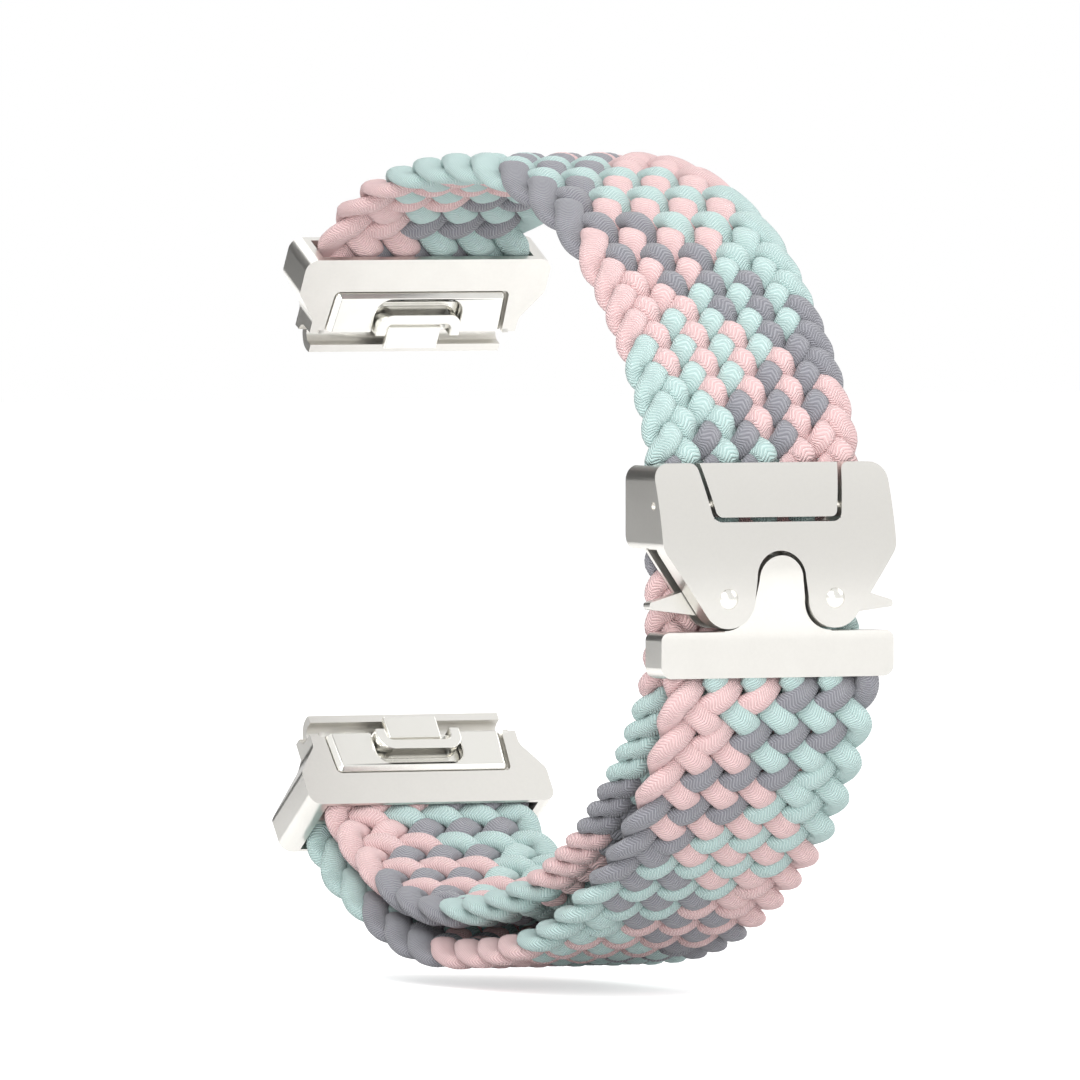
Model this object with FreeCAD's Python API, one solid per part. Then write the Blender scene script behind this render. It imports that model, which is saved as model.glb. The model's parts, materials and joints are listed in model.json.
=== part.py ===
import FreeCAD, Part
import math
import os

# Braided elastic watch strap with a two-lever clasp and two quick-release end links.
# Millimetres. +Z is up, X runs along the strap's width, and the clasp is on the -Y side.
# The origin is on the axis of the upper bar channel, half way along it.
# In the pairs below, "out" is the distance towards -Y and the second number is the height Z.

# Whole loop
bar_pitch = 44.0
clasp_out = 84.2
upper_rise = 18.3
inner_drop = 17.8
layer_pitch = 4.7
straight = 1.4

# Strap
strap_width = 25.6
strap_thickness = 3.4
tab_thickness = 2.3

# Fits
fit = 0.05
seat = 0.1
running = 0.2

# End links: shared by the upper and the lower one
bar_radius = 1.0
channel_length = 23.2
hook_wall = 1.05
lip_height = 0.6
link_corner = 1.4
upper_tilt = 30.0
lower_tilt = 36.0
link_length = 10.3
link_cheek = 2.2
neck_width = 25.2
neck_length = 2.7
shoulder_length = 6.0
wrist_side = 1.5
upper_depth = 3.5
lower_depth = 7.9
upper_strap_side = -1.0
lower_strap_side = -0.7

# Latch of an end link
cover_width = 21.4
cover_start = 1.2
cover_end = 6.0
cover_thickness = 0.7
cover_bevel = 0.55
cover_proud = 0.3
cover_gap = 0.25
cover_taper = 0.3
cover_corner = 0.7
slider_thickness = 0.75
slider_width = 15.0
slider_end = 4.4
latch_travel = 1.2
tab_width = 10.2
tab_end = 3.9
tab_height = 0.9
tab_leg = 1.15
tab_corner = 1.7
tab_inner_corner = 0.8
nose_width = 6.4
nose_start = -0.9
nose_end = 1.9
latch_spring_radius = 0.3
latch_spring_spacing = 9.0

# Strap pins in the end links
strap_pin_radius = 0.75
upper_pin_along = 8.3
cross_bar_radius = 0.7
lower_bar_along = 9.0
pin_reach = 0.9
room_step = 0.6

# Clasp
clasp_top = -12.5
clasp_wall = 0.95
clasp_clearance = 0.15
clasp_behind = 2.7
back_plate_thickness = 0.8
face_stand = 6.7
face_lean = 3.2
box_height = 9.1
leg_spacing = 12.7
leg_radius = 3.15
leg_drop = 14.4
leg_front_thickness = 2.3
top_corner = 1.6
notch_step = 0.2
notch_width = 5.8
window_corner = 0.8

# Flap
flap_top_width = 16.4
flap_low_width = 14.2
flap_height = 5.3
sill_gap = 0.95
flap_roll = 1.65
flap_thickness = 1.15
flap_gap = 0.45
flap_pin_drop = 4.5
flap_pin_stand = 3.9
flap_pin_radius = 0.45
knuckle_radius = 0.95

# Levers and their rivets
lever_thickness = 1.5
lever_hub = 2.3
lever_tip = 14.5
lever_fall = 0.7
lever_tip_half = 0.35
lever_root = 2.4
lever_arm = 4.3
arm_thickness = 0.75
post_radius = 0.35
rivet_radius = 0.8
rivet_head_radius = 1.12
rivet_head_height = 0.6
base_thickness = 0.6
rear_plate_step = 0.4
rear_window_top = 2.9
rear_window_height = 3.7
rear_window_margin = 3.0

# Tongue
tongue_bar_gap = 0.35
tongue_bar_height = 4.9
tongue_bar_depth = 3.8
tongue_bar_set_back = 1.0
tongue_tip_set_back = 0.1
tongue_width = 5.2
tongue_top_gap = 0.5
tongue_flare = 2.6
tongue_bar_corner = 0.9
tongue_bar_edge = 0.35
tongue_neck_spread = 0.2
tongue_slope_drop = 3.0
slot_height = 3.5
tongue_pin_radius = 0.45

# Catch spring
catch_wire = 0.32
catch_inset = 1.1
catch_above_seat = 1.8
catch_foot = 0.8
catch_shoulder = 1.6
catch_flare = 0.75

# Places that follow from the sizes above
clasp_width = strap_width + 2 * (clasp_wall + clasp_clearance)
link_width = strap_width + 2 * link_cheek
tongue_bar_width = clasp_width - 2 * fit
clasp_back = clasp_out - clasp_behind
face_low_out = clasp_out + face_stand
face_top_out = face_low_out - face_lean
face_radius = (face_lean ** 2 + leg_drop ** 2) / (2 * face_lean)
flap_pin_out = clasp_out + flap_pin_stand
notch_top = box_height + notch_step
lever_tip_drop = leg_drop + lever_fall
tongue_bar_top = leg_drop + leg_radius + tongue_bar_gap
tongue_bar_front = face_low_out - tongue_bar_set_back
tongue_bar_back = tongue_bar_front - tongue_bar_depth
tongue_tip_out = face_low_out - tongue_tip_set_back
tongue_tip = notch_top + tongue_top_gap
catch_top = box_height - catch_inset
catch_seat = leg_drop - catch_above_seat
catch_low = catch_seat + catch_foot
lever_back = face_low_out - leg_front_thickness - running - lever_thickness
lever_front = lever_back + lever_thickness
strap_inside = clasp_out - strap_thickness / 2
strap_outside = clasp_out + strap_thickness / 2
tongue_mid = (tongue_bar_back + tongue_bar_front) / 2
tongue_bottom = clasp_top - tongue_bar_top - tongue_bar_height
layer_gap = 2 * cross_bar_radius + 2 * fit + strap_thickness

across = FreeCAD.Vector(1, 0, 0)
deep = FreeCAD.Vector(0, 1, 0)
upright = FreeCAD.Vector(0, 0, 1)


def vector(x, out, height):
    """A point from its place along X, its distance out and its height."""
    return FreeCAD.Vector(x, -out, height)


def box(x, y, z):
    """A box between the low and high value given on each axis."""
    size = [high - low for low, high in (x, y, z)]
    return Part.makeBox(*size, FreeCAD.Vector(x[0], y[0], z[0]))


def slab(width, out, height):
    """A box centred on X, given by its distances out and its heights."""
    return box((-width / 2, width / 2), (-out[1], -out[0]), height)


def rod_x(radius, length, out, height):
    """A round bar along X, centred on the middle plane."""
    start = vector(-length / 2, out, height)
    return Part.makeCylinder(radius, length, start, across)


def polygon(points):
    return Part.makePolygon(points + [points[0]])


def rounded(shape, radius, chosen):
    """The shape with a radius on each edge that chosen accepts."""
    edges = [edge for edge in shape.Edges if chosen(edge)]
    return shape.makeFillet(radius, edges)


def along(edge, direction):
    """Whether a straight edge runs along the given direction."""
    if edge.Curve.TypeId != "Part::GeomLine":
        return False
    return abs(abs(edge.Curve.Direction.dot(direction)) - 1.0) < 0.001


def export(shape, name):
    shape = shape.removeSplitter()
    assert shape.isValid(), name
    shape.exportStep("parts/" + name + ".step")
    print(name, len(shape.Solids), round(shape.Volume, 3))


# Strap: each run is a band of one thickness about a smooth middle line

def middle_line(points):
    """A smooth curve through (out, height) points."""
    curve = Part.BSplineCurve()
    curve.interpolate([vector(0, *point) for point in points])
    return curve


def band(curve, thickness, width, samples=15):
    """A solid strap of even thickness about a middle line in the YZ plane."""
    first, last = curve.FirstParameter, curve.LastParameter
    sides = []
    for sign in (-1, 1):
        points = []
        for step in range(samples):
            at = first + (last - first) * step / (samples - 1)
            tangent = curve.tangent(at)[0]
            normal = tangent.cross(across)
            points.append(curve.value(at) + normal * (sign * thickness / 2))
        side = Part.BSplineCurve()
        side.interpolate(points)
        sides.append(side.toShape())
    near, far = sides
    ends = [Part.makeLine(near.valueAt(near.FirstParameter), far.valueAt(far.FirstParameter))]
    ends.append(Part.makeLine(near.valueAt(near.LastParameter), far.valueAt(far.LastParameter)))
    outline = Part.Wire(Part.__sortEdges__(sides + ends))
    face = Part.Face(outline)
    solid = face.extrude(FreeCAD.Vector(width, 0, 0))
    solid.translate(FreeCAD.Vector(-width / 2, 0, 0))
    return solid


# End link: built flat, with x along the strap's width, y away from the bar and z to the wrist

def upper_place():
    tilt = math.radians(upper_tilt)
    away = FreeCAD.Vector(0, -math.sin(tilt), math.cos(tilt))
    wrist = FreeCAD.Vector(0, -math.cos(tilt), -math.sin(tilt))
    rotation = FreeCAD.Rotation(FreeCAD.Vector(1, 0, 0), away, wrist, "XYZ")
    return FreeCAD.Placement(FreeCAD.Vector(0, 0, 0), rotation)


def lower_place():
    tilt = math.radians(lower_tilt)
    away = FreeCAD.Vector(0, -math.sin(tilt), -math.cos(tilt))
    wrist = FreeCAD.Vector(0, -math.cos(tilt), math.sin(tilt))
    rotation = FreeCAD.Rotation(FreeCAD.Vector(-1, 0, 0), away, wrist, "XYZ")
    return FreeCAD.Placement(FreeCAD.Vector(0, 0, -bar_pitch), rotation)


def placed(shape, place):
    shape = shape.copy()
    shape.Placement = place.multiply(shape.Placement)
    return shape


def out_and_height(place, along_link, side):
    """The (out, height) pair of a point of a placed link."""
    point = place.multVec(FreeCAD.Vector(0, along_link, side))
    return (-point.y, point.z)


def link_outline(depth):
    """The link's blank: a plate with a narrow neck between the lugs and rounded shoulders."""
    half = link_width / 2
    neck = neck_width / 2
    side = [(-neck, 0), (neck, 0), (neck, neck_length), (half, shoulder_length)]
    side += [(half, link_length), (-half, link_length), (-half, shoulder_length), (-neck, neck_length)]
    blank = Part.Face(polygon([FreeCAD.Vector(x, y, -depth) for x, y in side]))
    blank = blank.extrude(FreeCAD.Vector(0, 0, depth + wrist_side))
    return rounded(blank, link_corner, lambda edge: along(edge, upright) and abs(edge.Vertexes[0].Y) > 1)


def link_side_profile(depth):
    """The link's side view: thin at the bar, full depth at the strap."""
    start = bar_radius + hook_wall
    points = [(-start, -start), (start, -start), (shoulder_length, -depth), (link_length, -depth)]
    points += [(link_length, wrist_side), (-start, wrist_side)]
    face = Part.Face(polygon([FreeCAD.Vector(-link_width, y, z) for y, z in points]))
    return face.extrude(FreeCAD.Vector(2 * link_width, 0, 0))


def hook(place_length):
    """The hook round the bar, open to the wrist side."""
    start = FreeCAD.Vector(-place_length / 2, 0, 0)
    return Part.makeCylinder(bar_radius + hook_wall, place_length, start, across)


def cover_outline(grow, low, high):
    """The latch cover's outline, wider at the bar, with a bevel up to its top."""
    half = cover_width / 2 + grow
    end = cover_end + grow
    start = cover_start - grow
    base = [(-half, start), (half, start), (half - cover_taper, end), (-half + cover_taper, end)]
    face = Part.Face(polygon([FreeCAD.Vector(x, y, low) for x, y in base]))
    solid = face.extrude(FreeCAD.Vector(0, 0, high - low))
    far_corners = lambda edge: along(edge, upright) and edge.Vertexes[0].Y > cover_start + 1
    return rounded(solid, cover_corner, far_corners)


def bent_tab(width, end, leg, low, high):
    """A U-shaped thumb tab whose closed end points away from the bar."""
    start = bar_radius + fit + running
    outer = box((-width / 2, width / 2), (start, end), (low, high))
    outer = rounded(outer, tab_corner, lambda edge: along(edge, upright) and edge.Vertexes[0].Y > 2)
    inside = width / 2 - leg
    inner = box((-inside, inside), (start - 1, end - leg), (start + 0.1, high + 1))
    inner = rounded(inner, tab_inner_corner, lambda edge: along(edge, upright) and edge.Vertexes[0].Y > 2)
    return outer.cut(inner)


def make_link(prefix, place, depth, strap_side, folded):
    """The housing, cover, slider, springs and pin of one end link."""
    cover_low = wrist_side - cover_thickness
    slider_low = cover_low - running - slider_thickness
    blank = link_outline(depth).common(link_side_profile(depth))
    housing = blank.fuse(hook(channel_length))
    reach = link_width
    bore = Part.makeCylinder(bar_radius + fit, 2 * reach, FreeCAD.Vector(-reach, 0, 0), across)
    mouth = box((-reach, reach), (-bar_radius - fit, bar_radius + fit), (0, reach))
    lip = box((-reach, reach), (-reach, 0), (lip_height, reach))
    housing = housing.cut(bore).cut(mouth).cut(lip)
    past_hook = box((-reach, reach), (-reach, 0), (-reach, reach))
    side_room = past_hook.cut(box((-channel_length / 2, channel_length / 2), (-reach, 0), (-reach, reach)))
    housing = housing.cut(side_room)
    pocket = cover_outline(cover_gap, cover_low, wrist_side + 1)
    under = box((-slider_width / 2 - running, slider_width / 2 + running),
                (bar_radius, cover_end - running), (slider_low - running, cover_low))
    nose_room = box((-tab_width / 2 - running, tab_width / 2 + running),
                    (-reach, cover_start + 1), (slider_low - running, reach))
    nose_room = nose_room.common(box((-reach, reach), (bar_radius - 0.1, reach), (-reach, reach)))
    housing = housing.cut(pocket).cut(under).cut(nose_room)
    strap_half = strap_width / 2 + seat
    thick = strap_thickness / 2 + seat
    if folded:
        middle = strap_side - layer_gap / 2
        turn = layer_gap / 2 + thick
        start = FreeCAD.Vector(-strap_half, lower_bar_along, middle)
        room = Part.makeCylinder(turn, 2 * strap_half, start, across)
        sides = (middle - turn, middle + turn)
        straight_room = box((-strap_half, strap_half), (lower_bar_along, reach), sides)
        room = room.fuse(straight_room)
        pin_at = (lower_bar_along, middle)
        pin_r = cross_bar_radius
    else:
        sides = (strap_side - thick, strap_side + thick)
        room = box((-strap_half, strap_half), (cover_end + room_step, reach), sides)
        pin_at = (upper_pin_along, strap_side)
        pin_r = strap_pin_radius
    housing = housing.cut(room)
    pin_half = strap_width / 2 + seat + pin_reach
    pin = Part.makeCylinder(pin_r, 2 * pin_half, FreeCAD.Vector(-pin_half, *pin_at), across)
    pin_hole = Part.makeCylinder(pin_r, 2 * pin_half, FreeCAD.Vector(-pin_half, *pin_at), across)
    housing = housing.cut(pin_hole)
    export(placed(housing, place), prefix + "_end_housing")
    export(placed(pin, place), prefix + ("_cross_bar" if folded else "_strap_pin"))

    cover_top = wrist_side + cover_proud
    cover = cover_outline(0, cover_low, cover_top)
    top_edges = [edge for edge in cover.Edges
                 if edge.BoundBox.ZMin > cover_top - 0.01 and edge.BoundBox.YMax > cover_start + 0.1]
    cover = cover.makeChamfer(cover_bevel, top_edges)
    tab_room = box((-tab_width / 2 - running, tab_width / 2 + running),
                   (-1, tab_end + latch_travel + running), (cover_low - 1, cover_top + 1))
    far_corners = lambda edge: along(edge, upright) and edge.Vertexes[0].Y > 2
    tab_room = rounded(tab_room, tab_corner + running / 2, far_corners)
    cover = cover.cut(tab_room)
    export(placed(cover, place), prefix + "_latch_cover")

    slider = box((-slider_width / 2, slider_width / 2), (bar_radius + fit + running, slider_end),
                 (slider_low, slider_low + slider_thickness))
    tab = bent_tab(tab_width, tab_end, tab_leg, slider_low + slider_thickness, cover_top + tab_height)
    nose = box((-nose_width / 2, nose_width / 2), (nose_start, nose_end),
               (bar_radius + fit + 0.1, wrist_side + 0.35))
    nose = rounded(nose, 0.2, lambda edge: edge.BoundBox.ZMin > wrist_side + 0.3)
    slider = slider.fuse(tab).fuse(nose)
    export(placed(slider, place), prefix + "_latch_slider")

    springs = []
    spring_end = cover_end - running
    middle = slider_low + slider_thickness / 2
    for side in (-1, 1):
        base = FreeCAD.Vector(side * latch_spring_spacing / 2, slider_end, middle)
        length = spring_end - slider_end
        sleeve = Part.makeCylinder(latch_spring_radius, length, base, FreeCAD.Vector(0, 1, 0))
        hollow = Part.makeCylinder(latch_spring_radius / 2, length, base, FreeCAD.Vector(0, 1, 0))
        springs.append(sleeve.cut(hollow))
    export(placed(Part.makeCompound(springs), place), prefix + "_latch_springs")


# Strap runs

def link_stretch(place, low, high, side):
    """The strap's straight stretch inside an end link."""
    half = strap_width / 2
    thick = strap_thickness / 2
    return placed(box((-half, half), (low, high), (side - thick, side + thick)), place)


def beyond(place, low):
    """The half space of a placed link on the bar's side of a distance from the bar."""
    far = 2 * link_width
    return placed(box((-far, far), (-far, low), (-far, far)), place)


def heights(low, high):
    """All the space between two heights."""
    far = 2 * clasp_out
    return slab(far, (-far, far), (low, high))


def make_upper_run():
    """From the pin in the upper link, over the top and down to the clasp."""
    upper = upper_place()
    mouth = link_length + seat
    begin = cover_end + room_step + seat
    entry = out_and_height(upper, mouth - straight, upper_strap_side)
    leave = out_and_height(upper, mouth, upper_strap_side)
    shape = [(0.118, 0.76), (0.235, 0.925), (0.37, 1.0), (0.53, 0.985), (0.68, 0.81), (0.81, 0.49),
             (0.905, 0.08), (0.968, -0.3)]
    points = [entry, leave] + [(clasp_out * out, upper_rise * rise) for out, rise in shape]
    points += [(clasp_out, clasp_top + seat), (clasp_out, clasp_top - straight)]
    run = band(middle_line(points), strap_thickness, strap_width, 13)
    run = run.cut(beyond(upper, mouth)).cut(heights(-2 * clasp_out, clasp_top))
    run = run.fuse(link_stretch(upper, begin, mouth, upper_strap_side))
    pin_axis = out_and_height(upper, upper_pin_along, upper_strap_side)
    export(run.cut(rod_x(strap_pin_radius, 2 * strap_width, *pin_axis)), "strap_upper_run")


def lower_band(points, side, samples):
    """A run that ends in the lower link, straight from its mouth to the cross bar."""
    lower = lower_place()
    mouth = link_length + seat
    points = points + [out_and_height(lower, mouth, side), out_and_height(lower, mouth - straight, side)]
    run = band(middle_line(points), strap_thickness, strap_width, samples)
    run = run.cut(beyond(lower, mouth))
    return run.fuse(link_stretch(lower, lower_bar_along, mouth, side))


def make_lower_runs():
    """Behind the clasp, down to the lower link, round its bar and back up outside."""
    lower = lower_place()
    low_bar = -bar_pitch
    outer_drop = inner_drop + layer_pitch
    under_end = clasp_top - tongue_bar_top
    under = slab(strap_width, (strap_inside, strap_outside), (under_end, clasp_top))
    export(under, "strap_under_clasp")

    shape = [(0.968, -0.31), (0.903, 0.06), (0.808, 0.45), (0.665, 0.80), (0.475, 1.0), (0.285, 1.0),
             (0.151, 0.775)]
    points = [(clasp_out, under_end + straight), (clasp_out, under_end - seat)]
    points += [(clasp_out * out, low_bar - inner_drop * drop) for out, drop in shape]
    run = lower_band(points, lower_strap_side, 13)
    export(run.cut(heights(under_end, 2 * clasp_out)), "strap_inner_run")

    middle = lower_strap_side - layer_gap / 2
    outside = layer_gap / 2 + strap_thickness / 2
    inside = layer_gap / 2 - strap_thickness / 2
    begin = FreeCAD.Vector(-strap_width / 2, lower_bar_along, middle)
    fold = Part.makeCylinder(outside, strap_width, begin, across)
    fold = fold.cut(Part.makeCylinder(inside, strap_width, begin, across))
    far = 2 * link_width
    fold = fold.cut(box((-far, far), (lower_bar_along, far), (-far, far)))
    export(placed(fold, lower), "strap_fold")

    shape = [(1.026, -0.16), (0.976, 0.14), (0.905, 0.405), (0.805, 0.655), (0.655, 0.895),
             (0.475, 1.0), (0.285, 0.98), (0.14, 0.80)]
    points = [(tongue_mid, tongue_bottom + straight), (tongue_mid, tongue_bottom - seat)]
    points += [(clasp_out * out, low_bar - outer_drop * drop) for out, drop in shape]
    run = lower_band(points, lower_strap_side - layer_gap, 14)
    run = run.cut(heights(tongue_bottom - running, 2 * clasp_out))
    half_tab = tab_thickness / 2
    tab_heights = (tongue_bottom - 2 * running, tongue_bottom + slot_height - seat)
    run = run.fuse(slab(strap_width - 1.2, (tongue_mid - half_tab, tongue_mid + half_tab), tab_heights))
    pin_height = tongue_bottom + slot_height / 2
    run = run.cut(rod_x(tongue_pin_radius + fit, 2 * strap_width, tongue_mid, pin_height))
    export(run, "strap_outer_run")


# Clasp

def face_profile(back, inset):
    """A side view of the clasp: a curved front that leans back at the top, cut off at the given back."""
    low = clasp_top - leg_drop - leg_radius - 1
    top_point = vector(-clasp_width, face_top_out - inset, clasp_top)
    half_turn = math.asin(leg_drop / face_radius) / 2
    mid_point = vector(-clasp_width, face_low_out - inset - face_radius * (1 - math.cos(half_turn)),
                       clasp_top - leg_drop + face_radius * math.sin(half_turn))
    low_point = vector(-clasp_width, face_low_out - inset, clasp_top - leg_drop)
    front = Part.Arc(top_point, mid_point, low_point).toShape()
    foot = vector(-clasp_width, face_low_out - inset, low)
    heel = vector(-clasp_width, back, low)
    head = vector(-clasp_width, back, clasp_top)
    lines = [Part.makeLine(low_point, foot), Part.makeLine(foot, heel)]
    lines += [Part.makeLine(heel, head), Part.makeLine(head, top_point)]
    face = Part.Face(Part.Wire(Part.__sortEdges__([front] + lines)))
    return face.extrude(FreeCAD.Vector(2 * clasp_width, 0, 0))


def upright_plate(points, out):
    """A plate from (x, drop) corner points between two distances out."""
    face = Part.Face(polygon([vector(x, out[1], clasp_top - drop) for x, drop in points]))
    return face.extrude(FreeCAD.Vector(0, out[1] - out[0], 0))


def disc(radius, x, drop, out):
    """A round plate facing out."""
    return Part.makeCylinder(radius, out[1] - out[0], vector(x, out[1], clasp_top - drop), deep)


def leg_tangent():
    """Where the slanting side meets the leg's round end."""
    corner = (clasp_width / 2, box_height)
    centre = (leg_spacing / 2, leg_drop)
    reach_x = corner[0] - centre[0]
    reach_y = corner[1] - centre[1]
    distance = math.hypot(reach_x, reach_y)
    turn = math.acos(leg_radius / distance)
    angle = math.atan2(reach_y, reach_x) + turn
    return (centre[0] + leg_radius * math.cos(angle), centre[1] + leg_radius * math.sin(angle))


def clasp_outline(out, grow=0.0):
    """The clasp seen from the front: a box with slanting sides, two round legs and a notch."""
    half = clasp_width / 2
    tangent_x, tangent_drop = leg_tangent()
    leg_x = leg_spacing / 2
    right = [(0, 0), (half, 0), (half, box_height), (tangent_x, tangent_drop), (leg_x, leg_drop)]
    right += [(leg_x, leg_drop - leg_radius), (0, notch_top - 1)]
    left = [(-x, drop) for x, drop in right]
    body = upright_plate(right, out).fuse(upright_plate(left, out))
    for side in (-1, 1):
        body = body.fuse(disc(leg_radius, side * leg_x, leg_drop, out))
        inner = side * notch_width / 2
        outer = side * leg_x
        filler = [(inner, notch_top - 1), (outer, notch_top - 1), (outer, leg_drop), (inner, leg_drop)]
        body = body.fuse(upright_plate(filler, out))
    arch = disc(notch_width / 2, 0, notch_top + notch_width / 2, (out[0] - 1, out[1] + 1))
    spring_line = notch_top + notch_width / 2
    below = leg_drop + 2 * leg_radius
    channel = slab(notch_width, (out[0] - 1, out[1] + 1), (clasp_top - below, clasp_top - spring_line))
    return body.cut(arch).cut(channel).removeSplitter()


def flap_outline(grow, below, out, top):
    """The flap's four-sided outline, narrower at its lower edge."""
    half_top = flap_top_width / 2 + grow
    half_low = flap_low_width / 2 + grow
    drop = flap_height + below
    points = [(-half_top, top), (half_top, top), (half_low, drop), (-half_low, drop)]
    plate = upright_plate(points, out)
    low_corners = lambda edge: along(edge, deep) and edge.Vertexes[0].Z < clasp_top - 1
    return rounded(plate, window_corner, low_corners)


def make_clasp_body():
    """The front casting with its cheeks, legs, window and notch."""
    body = clasp_outline((clasp_back, face_low_out + 1))
    body = rounded(body, top_corner, lambda edge: along(edge, deep) and edge.Vertexes[0].Z > clasp_top - 0.01
                   and abs(edge.Vertexes[0].X) > 1)
    body = body.common(face_profile(clasp_back, 0))
    leg_room = slab(2 * clasp_width, (clasp_back - 1, face_low_out - leg_front_thickness),
                    (clasp_top - 2 * tongue_bar_top, clasp_top - box_height))
    body = body.cut(leg_room)
    inside = clasp_width / 2 - clasp_wall
    heights_of_box = (clasp_top - box_height - 1, clasp_top + 1)
    channel = slab(2 * inside, (clasp_back - 1, strap_outside + seat), heights_of_box)
    body = body.cut(channel)
    window = flap_outline(flap_gap, sill_gap, (clasp_back, face_low_out + 1), -2)
    body = body.cut(window)
    lever_room = slab(2 * inside, (strap_outside, lever_front + running),
                      (clasp_top - box_height - 0.1, clasp_top - flap_height - sill_gap))
    body = body.cut(lever_room)
    body = body.cut(rod_x(flap_pin_radius, 2 * clasp_width, flap_pin_out, clasp_top - flap_pin_drop))
    for side in (-1, 1):
        hole = disc(rivet_radius, side * leg_spacing / 2, leg_drop, (lever_back, face_low_out + 1))
        body = body.cut(hole)
    export(body, "clasp_body")


def make_back_plates():
    """The rear plate behind the strap and the base plate that carries the levers."""
    inside = clasp_width / 2 - clasp_wall - fit
    rear_heights = (clasp_top - box_height, clasp_top - rear_plate_step)
    rear = slab(2 * inside, (clasp_back, clasp_back + back_plate_thickness), rear_heights)
    window_low = clasp_top - rear_window_top - rear_window_height
    window = slab(2 * (inside - rear_window_margin), (clasp_back - 1, strap_inside),
                  (window_low, clasp_top - rear_window_top))
    window = rounded(window, window_corner, lambda edge: along(edge, deep))
    export(rear.cut(window), "clasp_rear_plate")
    low = strap_outside + seat
    base = clasp_outline((low, low + base_thickness))
    leg_heights = (clasp_top - leg_drop - leg_radius - 1, clasp_top - box_height)
    keep = slab(clasp_width, (low - 1, low + 2), leg_heights)
    base = base.common(keep)
    bridge = slab(leg_spacing, (low, low + base_thickness), (clasp_top - leg_drop, clasp_top - box_height))
    base = base.fuse(bridge)
    for side in (-1, 1):
        base = base.cut(disc(rivet_radius, side * leg_spacing / 2, leg_drop, (low - 1, low + 2)))
    export(base, "lever_base_plate")


def make_flap():
    """The flap, its knuckle and its hinge pin."""
    inset = flap_thickness
    plate = flap_outline(0, 0, (clasp_back, face_low_out + 1), 0)
    skin = face_profile(clasp_back, 0).cut(face_profile(clasp_back - 1, inset))
    plate = plate.common(skin)
    roll = rod_x(flap_roll, clasp_width, flap_pin_out, clasp_top - flap_pin_drop)
    lower_part = heights(-2 * clasp_out, clasp_top - flap_pin_drop)
    plate = plate.cut(lower_part.cut(roll))
    knuckle = rod_x(knuckle_radius, flap_low_width - 0.4, flap_pin_out, clasp_top - flap_pin_drop)
    flap = plate.fuse(knuckle)
    flap = flap.cut(rod_x(flap_pin_radius + fit, 2 * clasp_width, flap_pin_out, clasp_top - flap_pin_drop))
    flap = max(flap.Solids, key=lambda solid: solid.Volume)
    export(flap, "clasp_flap")
    pin = rod_x(flap_pin_radius, clasp_width - 2 * running, flap_pin_out, clasp_top - flap_pin_drop)
    export(pin, "flap_hinge_pin")


def make_levers():
    """Two release levers with pointed fins, and the rivets that carry them."""
    out = (lever_back, lever_front)
    rivets = []
    for side, name in ((-1, "left"), (1, "right")):
        x = side * leg_spacing / 2
        hub = disc(lever_hub, x, leg_drop, out)
        half_root = lever_root / 2 + 0.1
        fin_root = x + side * 1.2
        fin = [(fin_root, leg_drop - half_root - 0.4), (side * lever_tip, lever_tip_drop - lever_tip_half),
               (side * lever_tip, lever_tip_drop + lever_tip_half), (fin_root, leg_drop + half_root + 0.6)]
        fin = upright_plate(fin, out)
        tip_reach = lever_tip - 0.5
        fin = rounded(fin, 0.3, lambda edge: along(edge, deep) and abs(edge.Vertexes[0].X) > tip_reach)
        post_x = x - side * post_radius * 2
        arm_top = leg_drop - lever_arm
        arm = [(x - side * 1.5, leg_drop), (x + side * 0.6, leg_drop), (post_x + side * post_radius, arm_top),
               (post_x - side * post_radius, arm_top)]
        arm_plate = upright_plate(arm, (lever_back, lever_back + arm_thickness))
        post = disc(post_radius, post_x, arm_top + post_radius, out)
        lever = hub.fuse(fin).fuse(arm_plate).fuse(post)
        lever = lever.cut(disc(rivet_radius + fit, x, leg_drop, (out[0] - 1, out[1] + 1)))
        export(lever, name + "_release_lever")
        shank = disc(rivet_radius, x, leg_drop, (strap_outside + seat, face_low_out))
        dome_rise = rivet_head_height
        dome_radius = (rivet_head_radius ** 2 + dome_rise ** 2) / (2 * dome_rise)
        dome_middle = vector(x, face_low_out + dome_rise - dome_radius, clasp_top - leg_drop)
        ball = Part.makeSphere(dome_radius, dome_middle)
        head = ball.common(disc(rivet_head_radius + 0.1, x, leg_drop, (face_low_out, face_low_out + 2)))
        rivets.append(shank.fuse(head))
    export(Part.makeCompound(rivets), "lever_rivets")


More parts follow.
